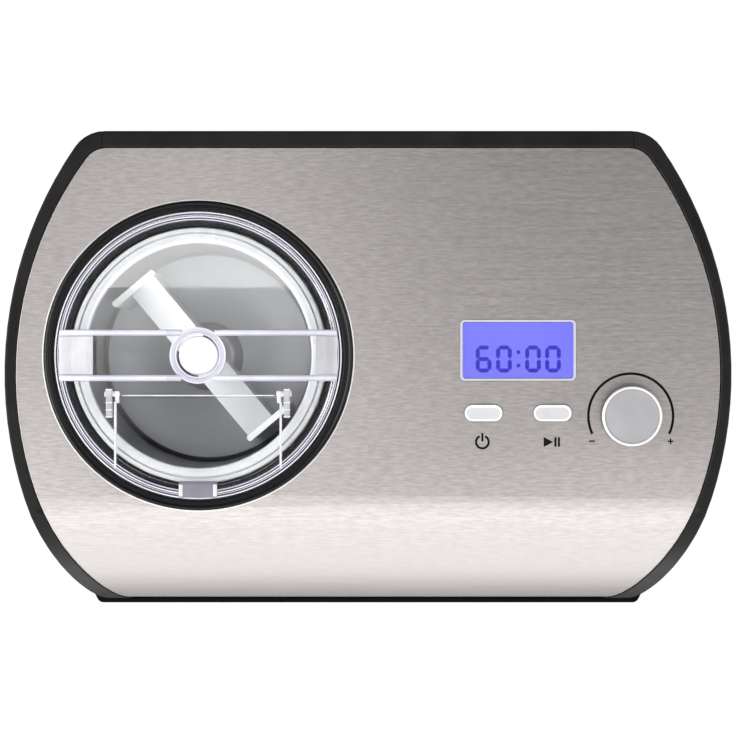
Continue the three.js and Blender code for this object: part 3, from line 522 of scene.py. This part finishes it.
INSIDE_MATERIALS = {
    "grey": ("inner_chassis", "gearbox_housing", "gearbox_cover"),
    "rubber": ("chamber_seal", "compressor_grommet_1", "compressor_grommet_2",
               "compressor_grommet_3"),
    "plain_metal": ("cooling_chamber", "condenser", "drive_shaft", "motor_pinion", "drive_motor"),
    "foam": ("chamber_insulation",),
    "copper": ("evaporator_coil", "suction_pipe", "discharge_pipe", "capillary_tube",
               "filter_drier"),
    "compressor": ("compressor", "fan_shroud", "fan_rotor", "tact_switch_1", "tact_switch_2",
                   "rotary_encoder"),
    "natural": ("drive_gear",),
    "bronze": ("lower_bearing", "upper_bearing"),
    "board": ("control_board", "power_board"),
}


def paint_inside():
    for material, nodes in INSIDE_MATERIALS.items():
        for node in nodes:
            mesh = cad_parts[node].data
            mesh.materials.clear()
            mesh.materials.append(MATERIALS[material])


# ---- bowl, lid and paddle ----------------------------------------------------------------

BOWL_MM = BOWL_CENTRE / MM


def over_bowl(points):
    return [(x + BOWL_MM.x, y + BOWL_MM.y) for x, y in points]


def build_bezel():
    outline = [(71.6, 203.6), (84.6, 203.6), (84.6, 215.6), (84.3, 216.0), (83.7, 216.2),
               (83.1, 216.0), (82.7, 215.7), (82.3, 216.0), (81.9, 216.0), (81.4, 215.6),
               (80.4, 215.6), (79.8, 215.3), (79.6, 214.8), (79.6, 206.8), (79.2, 206.4),
               (72.2, 206.4), (71.6, 206.0)]
    place(turned("bowl_bezel_ring", outline, BOWL_CENTRE, "bezel"), "root", "bezel", "bowl_bezel")
    # the cover's rolled edge is drawn in near-white metal: a painted highlight line along the
    # steel's edge round the bowl
    rolled = [(85.05, 213.4), (85.9, 213.4), (85.9, 214.3), (85.7, 214.5), (85.3, 214.5),
              (85.05, 214.2)]
    place(turned("cover_rolled_edge", rolled, BOWL_CENTRE, "painted_highlight_edge"), "root", "steel_cover")


def build_bowl():
    outline = [(7.0, 102.5), (7.0, 104.0), (13.6, 104.0), (15.5, 103.4), (17.2, 101.6),
               (18.3, 95.0), (19.0, 88.0), (19.8, 86.2), (21.4, 85.5), (56.0, 85.5), (59.4, 86.2),
               (61.4, 88.2), (62.0, 91.5), (62.0, 206.5), (63.5, 206.5), (63.5, 90.0),
               (62.2, 85.6), (59.0, 84.0), (20.0, 84.0), (17.0, 88.0), (15.0, 100.0),
               (13.0, 102.5)]
    bowl = turned("freezer_bowl_shell", outline, BOWL_CENTRE, "aluminium")
    place(bowl, "bowl", "bowl", "freezer_bowl")
    rim = [(63.9, 204.9), (70.0, 204.9), (70.4, 205.3), (70.4, 208.8), (70.1, 209.5),
           (69.4, 209.8), (68.0, 209.8), (67.8, 208.4), (67.2, 208.4), (67.0, 209.8),
           (63.2, 209.8), (62.5, 209.5), (62.2, 208.9), (62.2, 206.8), (63.9, 206.8)]
    place(turned("bowl_rim_white", rim, BOWL_CENTRE, "white"), "bowl", "bowl_ring", "bowl_rim_ring")


def across_bowl(name, side, y0, y1, material):
    """A plate from y0 to y1 behind the bowl's centre, from a side view of (x, z) points."""
    working = bmesh.new()
    loops = []
    for y in (y0, y1):
        corners = [Vector((x + BOWL_MM.x, y + BOWL_MM.y, z)) * MM for x, z in side]
        loops.append([working.verts.new(corner) for corner in corners])
    working.faces.new(loops[0])
    working.faces.new(loops[1])
    count = len(side)
    for index in range(count):
        after = (index + 1) % count
        working.faces.new((loops[0][index], loops[0][after], loops[1][after], loops[1][index]))
    return from_bmesh(name, working, material)


def block(x0, x1, y0, y1, z0, z1, material="clear"):
    """A box over the bowl's centre, in millimetres."""
    outline = over_bowl([(x0, y0), (x1, y0), (x1, y1), (x0, y1)])
    return prism("lid_block", outline, z0, z1, material)


def flap_outline(spread):
    half = FLAP_HALF + spread
    radius = FLAP_RADIUS + spread
    turn = math.degrees(math.acos(half / radius))
    straight = [(half, -23.0 + spread), (-half, -23.0 + spread)]
    return over_bowl(straight + arc(0, 0, radius, 180 + turn, 360 - turn, 40))


def bar_along_x(x0, x1, y, z, radius, material="painted_highlight_white"):
    working = bmesh.new()
    middle = Vector(((x0 + x1) / 2 + BOWL_MM.x, y + BOWL_MM.y, z)) * MM
    place_bar = Matrix.Translation(middle) @ Matrix.Rotation(math.pi / 2, 4, "Y")
    bmesh.ops.create_cone(working, cap_ends=True, segments=24, radius1=radius * MM,
                          radius2=radius * MM, depth=abs(x1 - x0) * MM, matrix=place_bar)
    return from_bmesh("lid_bar", working, material)


def part_of_lid(piece, edge=0.3):
    soften(piece, edge, 2)
    return place(piece, "lid", "lid", "clear_lid")


def build_lid():
    outline = [(0, 212.0), (73.4, 212.0), (73.9, 211.6), (74.2, 206.8), (78.3, 206.8),
               (78.9, 207.4), (78.9, 216.2), (78.6, 216.8), (78.0, 217.0), (77.4, 217.0),
               (77.1, 216.7), (76.8, 217.0), (76.0, 217.0), (75.4, 216.7), (74.6, 214.9),
               (73.9, 214.4), (0, 214.4)]
    lid = turned("clear_lid_moulding", outline, BOWL_CENTRE, "clear")
    combine(lid, prism("flap_hole", flap_outline(0.5), 205, 215.2, "clear"), "DIFFERENCE")
    hub_hole = over_bowl(arc(0, 0, 11.6, 0, 360, SMALL_ROUND)[:-1])
    combine(lid, prism("hub_hole", hub_hole, 205, 222, "clear"), "DIFFERENCE")
    part_of_lid(lid)
    # the rim lines are drawn white and lilac: painted highlights on the clear rim
    for inner, outer, top, material in RIM_LINES:
        line = [(inner, 216.2), (outer, 216.2), (outer, top - 0.1), (outer - 0.1, top),
                (inner + 0.1, top), (inner, top - 0.1)]
        place(turned("lid_rim_line", line, BOWL_CENTRE, material), "lid", "lid", "clear_lid")
    # a white line along the hinge edge: painted highlight
    part_of_lid(block(-41.9, 41.9, -22.4, -21.7, 214.2, 215.0, "painted_highlight_white"), 0.15)
    build_lid_handle()
    build_knuckles()


def build_lid_handle():
    # the hub ring is drawn lilac and its lips white: painted highlights
    hub = [(11.8, 213.6), (15.4, 213.6), (15.4, 220.4), (15.0, 221.0), (13.2, 221.0), (12.6, 220.4)]
    ring = turned("lid_hub", hub, BOWL_CENTRE, "painted_highlight_lilac", SMALL_ROUND)
    place(ring, "lid", "lid", "clear_lid")
    for inner, outer in ((14.6, 15.5), (11.75, 12.5)):
        lip = [(inner, 219.6), (outer, 219.6), (outer, 221.0), (outer - 0.2, 221.2),
               (inner + 0.2, 221.2), (inner, 221.0)]
        raised = turned("lid_hub_lip", lip, BOWL_CENTRE, "painted_highlight_white", SMALL_ROUND)
        place(raised, "lid", "lid", "clear_lid")
    # the ribs are drawn lilac with white caps: painted highlights
    half = RIB_THICK / 2
    for y in (-RIB_OFFSET, RIB_OFFSET):
        for turn in (1, -1):
            side = [(turn * x, z) for x, z in RIB_SIDE]
            part_of_lid(across_bowl("lid_rib", side, y - half, y + half, "painted_highlight_lilac"), 0.5)
            cap = [(turn * x, z) for x, z in RIB_CAP]
            part_of_lid(across_bowl("lid_rib_cap", cap, y - 0.8, y + 0.8, "painted_highlight_white"), 0.3)
    reach = RIB_OFFSET - half
    # the sloping end plates are drawn white: painted highlights on the clear moulding
    for sign, inner in RAMP_ENDS:
        outer = 76.6
        slope = [(outer, 215.4), (outer, 217.8), (inner, 226.0), (inner, 224.0)]
        slope = [(sign * x, z) for x, z in slope]
        part_of_lid(across_bowl("lid_ramp", slope, -reach, reach, "ramp"), 0.6)


def build_knuckles():
    for sign in (-1, 1):
        middle = sign * (FLAP_HALF + 2.8)
        left, right = middle - 1.7, middle + 1.7
        # the knuckles and their beads are drawn white: painted highlights
        piece = block(left, right, HINGE_Y - 13, HINGE_Y + 3, 213.6, 219.8, "ramp")
        socket = bar_along_x(middle - 4, middle + 4, HINGE_Y, HINGE_Z, SOCKET_RADIUS)
        combine(piece, socket, "DIFFERENCE")
        part_of_lid(piece, 0.7)
        for step in (-12.4, -8.6, -4.6, 2.4):
            y = HINGE_Y + step
            bead = block(left - 0.1, right + 0.2, y - 0.4, y + 0.4, 214.4, 220.1, "painted_highlight_white")
            part_of_lid(bead, 0.2)


def part_of_flap(piece, edge=0.25):
    soften(piece, edge, 2)
    return place(piece, "flap", "lid", "fill_flap")


def build_flap():
    part_of_flap(prism("fill_flap_moulding", flap_outline(0), 212.0, 214.4, "clear"))
    for sign in (-1, 1):
        # the ears, pins, ridges and marks are drawn white: painted highlights
        ear = sign * (FLAP_HALF - 1.6)
        part_of_flap(block(ear - 1.1, ear + 1.1, -26.2, -23.0, 213.4, 216.2, "painted_highlight_white"))
        part_of_flap(block(ear - 1.1, ear + 1.1, -24.6, -19.6, 214.9, 218.2, "painted_highlight_white"))
        inner, outer = sign * (FLAP_HALF - 3), sign * (FLAP_HALF + 5.4)
        part_of_flap(bar_along_x(inner, outer, HINGE_Y, HINGE_Z, PIN_RADIUS), 0.1)
        ridge = sign * (FLAP_HALF - 0.6)
        part_of_flap(block(ridge - 0.6, ridge + 0.6, -54.0, -25.2, 213.4, 219.6, "painted_highlight_white"))
        part_of_flap(block(ridge - 0.6, ridge + 0.6, -62.0, -25.2, 217.6, 219.6, "painted_highlight_white"))
        mark = sign * 9.4
        part_of_flap(block(mark - 1.1, mark + 1.1, -77.4, -70.6, 217.2, 220.0, "painted_highlight_white"), 0.5)
    # the clear tab is drawn part-clear grey-lilac in place of its shaded look: painted shade
    part_of_flap(block(-10.5, 10.5, -71, -69, 213.4, 219.6, "tab"))
    part_of_flap(block(-10.5, 10.5, -78, -69, 217.6, 219.6, "tab"))


def paddle_wing(name, turn):
    """An upside-down channel whose top slopes to one side, closed by a wider end plate."""
    half, inner = WING_HALF, WING_HALF - WING_SKIN
    section = [(-half, WING_LOW), (-inner, WING_LOW), (-inner, 185.2), (inner, 173.6),
               (inner, WING_LOW), (half, WING_LOW), (half, 176.0), (-half, 188.0)]
    working = bmesh.new()
    ends = []
    for x in (WING_ROOT, WING_TIP):
        ends.append([working.verts.new((x * MM, y * MM, z * MM)) for y, z in section])
    working.faces.new(ends[0])
    working.faces.new(ends[1])
    for index in range(len(section)):
        after = (index + 1) % len(section)
        working.faces.new((ends[0][index], ends[0][after], ends[1][after], ends[1][index]))
    wing = from_bmesh(name, working, "paddle")
    plate = rounded_rectangle(WING_TIP - 1.7, 4.75, 3.4, 29.5, 1.2)
    combine(wing, prism("end_plate", plate, WING_LOW, 188.0, "paddle"))
    boss_room = turned("boss_room", [(0, 60), (22, 60), (22, 107), (0, 107)], (0, 0), "paddle",
                       SMALL_ROUND)
    combine(wing, boss_room, "DIFFERENCE")
    centre = Matrix.Translation((BOWL_CENTRE.x, BOWL_CENTRE.y, 0))
    wing.data.transform(centre @ Matrix.Rotation(turn, 4, "Z"))
    return soften(wing, 0.6, 3, 40)


def build_paddle():
    hub = [(6.6, 106.0), (10.2, 106.0), (10.2, 207.6), (10.7, 208.6), (10.7, 214.6), (10.2, 215.6),
           (9.2, 216.0), (0, 216.0), (0, 203.0), (6.6, 203.0)]
    core = turned("paddle_hub", hub, BOWL_CENTRE, "hub_cap", SMALL_ROUND)
    place(core, "paddle", "paddle", "mixing_paddle")
    for index, turn in enumerate((PADDLE_TURN, PADDLE_TURN + math.pi)):
        place(paddle_wing(f"paddle_wing_{index + 1}", turn), "paddle", "paddle", "mixing_paddle")


# ---- controls ----------------------------------------------------------------------------


def segment_bar(x0, y0, x1, y1):
    """One pointed display segment between two points."""
    along = Vector((x1 - x0, y1 - y0)).normalized()
    side = Vector((-along.y, along.x)) * SEGMENT_THICK / 2
    start = Vector((x0, y0)) + along * SEGMENT_GAP
    end = Vector((x1, y1)) - along * SEGMENT_GAP
    tip = along * SEGMENT_THICK / 2
    return [start, start + tip - side, end - tip - side, end, end - tip + side, start + tip + side]


def digit_segments(x, y):
    half = SEGMENT_THICK / 2
    left, right = x + half, x + DIGIT_WIDTH - half
    low, middle, high = y + half, y + DIGIT_HEIGHT / 2, y + DIGIT_HEIGHT - half
    return {
        "a": (left, high, right, high),
        "b": (right, middle, right, high),
        "c": (right, low, right, middle),
        "d": (left, low, right, low),
        "e": (left, low, left, middle),
        "f": (left, middle, left, high),
        "g": (left, middle, right, middle),
    }


def flat_shapes(name, outlines, low, high, material):
    """Several thin plates as one piece."""
    working = bmesh.new()
    for outline in outlines:
        bottom = [working.verts.new((p[0] * MM, p[1] * MM, low * MM)) for p in outline]
        top = [working.verts.new((p[0] * MM, p[1] * MM, high * MM)) for p in outline]
        working.faces.new(bottom)
        working.faces.new(top)
        for index in range(len(outline)):
            after = (index + 1) % len(outline)
            working.faces.new((bottom[index], bottom[after], top[after], top[index]))
    return from_bmesh(name, working, material)


def build_display():
    x, y = DISPLAY_CENTRE.x / MM, DISPLAY_CENTRE.y / MM
    rim = prism("display_rim", rounded_rectangle(x, y, *DISPLAY_RIM, 2.7), 207.0, 215.0, "white")
    opening = rounded_rectangle(x, y, *DISPLAY_OPENING, 1.6)
    combine(rim, prism("display_hole", opening, 200, 220, "white"), "DIFFERENCE")
    soften(rim, 0.35, 3)
    place(rim, "root", "display_frame", "display_frame")
    refined("display_window", "root", "display_window", "window")
    lit = rounded_rectangle(x, y, *DISPLAY_SCREEN, 1.4)
    screen = prism("display_screen", lit, 199.0, 212.0, "screen")
    place(screen, "root", "display_screen", "display_module")
    bottom = y - 12.3
    outlines = []
    for left, figure in zip(DIGIT_LEFTS, "6000"):
        segments = digit_segments(x + left, bottom)
        outlines += [segment_bar(*segments[letter]) for letter in LIT[figure]]
    colon_x = x + 0.2
    for height in (bottom + 3.9, bottom + 11.2):
        outlines.append(rounded_rectangle(colon_x, height, *COLON_DOT, 0.3, 2))
    digits = flat_shapes("display_digits", outlines, 212.0, 212.12, "digit_ink")
    place(digits, "root", "display_screen")


def build_buttons():
    for name, body in (("power_button", "power_button"), ("start_pause_button", "start_button")):
        centre = BUTTON_CENTRES[name] / MM
        outside = rounded_rectangle(centre.x, centre.y, *BUTTON_CAP, 4.45, CORNER_STEPS)
        cap = prism(name + "_cap", outside, 208.6, 216.2, "knob_rim")
        dish = rounded_rectangle(centre.x, centre.y, *BUTTON_DISH, 3.15, CORNER_STEPS)
        combine(cap, prism("dish", dish, 215.9, 218, "button"), "DIFFERENCE")
        soften(cap, 0.45, 4)
        place(cap, body, "button", name)
        pad = rounded_rectangle(centre.x, centre.y, *BUTTON_PAD, 3.1, CORNER_STEPS)
        place(soften(prism(name + "_pad", pad, 215.0, 216.0, "button"), 0.2, 2), body, "button")
        ring = rounded_rectangle(centre.x, centre.y, *BUTTON_LINER, 4.8, CORNER_STEPS)
        liner = prism(name + "_liner", ring, 212.6, 214.3, "grey")
        bore = rounded_rectangle(centre.x, centre.y, *BUTTON_BORE, 4.55, CORNER_STEPS)
        combine(liner, prism("bore", bore, 210, 218, "white"), "DIFFERENCE")
        place(liner, "root", "button")


def build_knob():
    skirt = [(0, 208.0), (3.5, 208.0), (3.5, 215.4), (15.8, 215.4), (16.35, 216.0),
             (16.35, 222.0), (0, 222.0)]
    place(turned("knob_skirt", skirt, KNOB_CENTRE, "black"), "knob", "knob", "control_knob")
    rim = [(14.9, 222.0), (16.0, 222.0), (16.4, 222.4), (16.4, 225.6), (16.2, 226.4),
           (15.8, 226.9), (15.4, 226.9), (15.0, 226.5), (14.9, 226.0)]
    place(turned("knob_rim", rim, KNOB_CENTRE, "knob_rim"), "knob", "knob")
    face = [(0, 222.0), (14.85, 222.0), (14.85, 225.9), (14.5, 226.2), (0, 226.4)]
    place(turned("knob_face", face, KNOB_CENTRE, "knob_face"), "knob", "knob")


def band(x, y, inner, outer, start, end, steps):
    return arc(x, y, outer, start, end, steps) + arc(x, y, inner, end, start, steps)


def bar(x, y, width, height):
    return [(x - width / 2, y - height / 2), (x + width / 2, y - height / 2),
            (x + width / 2, y + height / 2), (x - width / 2, y + height / 2)]


def build_prints():
    low = COVER_TOP / MM
    high = low + PRINT_THICK
    knob = KNOB_CENTRE / MM
    power_x = BUTTON_CENTRES["power_button"].x / MM - 0.6
    start_x = BUTTON_CENTRES["start_pause_button"].x / MM
    icon_y = BUTTON_CENTRES["power_button"].y / MM - 15.9
    power = [band(power_x, icon_y, 2.85, 4.1, -245, 65, 40), bar(power_x, icon_y + 2.6, 1.2, 4.6)]
    play = [(start_x - 4.9, icon_y - 2.8), (start_x + 0.3, icon_y), (start_x - 4.9, icon_y + 2.8)]
    pause = [bar(start_x + shift, icon_y, 1.2, 5.2) for shift in (1.6, 3.5)]
    start = [play, *pause]
    minus = bar(knob.x - 21.3, knob.y - 13.8, SIGN_LONG, SIGN_THICK)
    plus = [bar(knob.x + 21.9, knob.y - 13.9, SIGN_LONG, SIGN_THICK),
            bar(knob.x + 21.9, knob.y - 13.9, SIGN_THICK, SIGN_LONG)]
    scale = [band(knob.x, knob.y, 22.6, 24.0, -25, 205, 90), minus, *plus]
    prints = {"print_power": power, "print_start_pause": start, "print_scale": scale}
    for name, outlines in prints.items():
        place(flat_shapes(name, outlines, low, high, "print_ink"), "root", "side_panels")


# ---- stage -------------------------------------------------------------------------------


def build_camera():
    camera = bpy.data.cameras.new("camera")
    camera.sensor_width = SENSOR
    camera.lens = SENSOR * CAMERA_RISE / VIEW_WIDTH
    camera.clip_end = 20
    holder = bpy.data.objects.new("camera", camera)
    bpy.context.collection.objects.link(holder)
    holder.location = (0.0, CAMERA_Y, COVER_TOP + CAMERA_RISE)
    bpy.context.scene.camera = holder


def softbox(name, location, target, width, height, power):
    light = bpy.data.lights.new(name, "AREA")
    light.shape = "RECTANGLE"
    light.size = width
    light.size_y = height
    light.energy = power
    holder = bpy.data.objects.new(name, light)
    bpy.context.collection.objects.link(holder)
    holder.location = location
    holder.rotation_euler = (Vector(target) - Vector(location)).to_track_quat("-Z", "Y").to_euler()


def build_reflected_card():
    """A lit card whose mirror image in the flat lid lightens the rear of the bowl."""
    outline = arc(CARD["x"], CARD["y"], CARD["radius"], 0, 360, SMALL_ROUND)[:-1]
    working = bmesh.new()
    corners = [working.verts.new((x, y, CARD["z"])) for x, y in outline]
    working.faces.new(corners)
    mesh = bpy.data.meshes.new("reflected_card")
    working.to_mesh(mesh)
    working.free()
    card = bpy.data.objects.new("reflected_card", mesh)
    bpy.context.collection.objects.link(card)
    glow = Shader("card_light", (0.0, 0.0, 0.0), 0.9, Emission_Color=(1.0, 1.0, 1.0, 1.0))
    across = glow.node("ShaderNodeSeparateXYZ")
    glow.link(glow.coordinates, across.inputs["Vector"])
    height = across.outputs["Y"]
    faint = glow.spread(height, 0.0, CARD_FADE["light"], CARD_FADE["from"], CARD["edge"])
    bright = glow.spread(height, 0.0, CARD["light"], CARD["edge"], CARD["edge"] + 0.001)
    light = glow.node("ShaderNodeMath", operation="MAXIMUM")
    glow.link(faint, light.inputs[0])
    glow.link(bright, light.inputs[1])
    uneven = glow.node("ShaderNodeMath", operation="MULTIPLY")
    glow.link(light.outputs["Value"], uneven.inputs[0])
    glow.link(glow.spread(glow.noise(6.0, 2.0), 0.92, 1.0), uneven.inputs[1])
    glow.link(uneven.outputs["Value"], glow.shader.inputs["Emission Strength"])
    mesh.materials.append(glow.material)
    card.visible_camera = False
    card.visible_diffuse = False
    card.visible_shadow = False


def build_floor():
    """Plain paper: white to the camera; to the steel it glows only ahead of the machine, a painted
    light that fades to painted shade near the machine.
    """
    working = bmesh.new()
    bmesh.ops.create_grid(working, x_segments=2, y_segments=2, size=6.0)
    mesh = bpy.data.meshes.new("floor")
    working.to_mesh(mesh)
    working.free()
    floor = bpy.data.objects.new("floor", mesh)
    bpy.context.collection.objects.link(floor)
    paper = Shader("floor_paper", (0.12, 0.12, 0.12), 0.9, Emission_Color=(1.0, 1.0, 1.0, 1.0))
    cloud = paper.noise(3.0, 2.0)
    paper.color_between(paper.spread(cloud, 0.0, 1.0), (0.11, 0.11, 0.11), (0.12, 0.12, 0.12))
    seen = paper.node("ShaderNodeLightPath").outputs["Is Camera Ray"]
    across = paper.node("ShaderNodeSeparateXYZ")
    paper.link(paper.coordinates, across.inputs["Vector"])
    # painted light and shade seen in the steel: a glow ahead of the machine, fading near it
    ahead = paper.spread(across.outputs["Y"], FLOOR_SHINE, 0.0, *FLOOR_PAINTED_SHADE_FADE)
    glow = paper.node("ShaderNodeMix", data_type="FLOAT")
    glow.inputs["B"].default_value = FLOOR_GLOW
    paper.link(seen, glow.inputs["Factor"])
    paper.link(ahead, glow.inputs["A"])
    paper.link(glow.outputs["Result"], paper.shader.inputs["Emission Strength"])
    mesh.materials.append(paper.material)


def build_world():
    """An even light from all around: dim on the machine, white behind it in the picture."""
    world = bpy.data.worlds.new("studio")
    world.use_nodes = True
    nodes, links = world.node_tree.nodes, world.node_tree.links
    background = nodes["Background"]
    background.inputs["Color"].default_value = (1.0, 1.0, 1.0, 1.0)
    strength = nodes.new("ShaderNodeMix")
    strength.data_type = "FLOAT"
    strength.inputs["A"].default_value = WORLD_LIGHT
    strength.inputs["B"].default_value = WORLD_SEEN
    links.new(nodes.new("ShaderNodeLightPath").outputs["Is Camera Ray"], strength.inputs["Factor"])
    links.new(strength.outputs["Result"], background.inputs["Strength"])
    bpy.context.scene.world = world


def build_stage():
    build_floor()
    build_world()
    build_reflected_card()
    for settings in SOFTBOXES:
        softbox(*settings)
    bpy.context.scene.view_settings.view_transform = "Standard"
    bpy.context.scene.view_settings.look = "None"


build_camera()
build_stage()
build_housing()
paint_inside()
build_bezel()
build_bowl()
build_lid()
build_flap()
build_paddle()
build_display()
build_buttons()
build_knob()
build_prints()
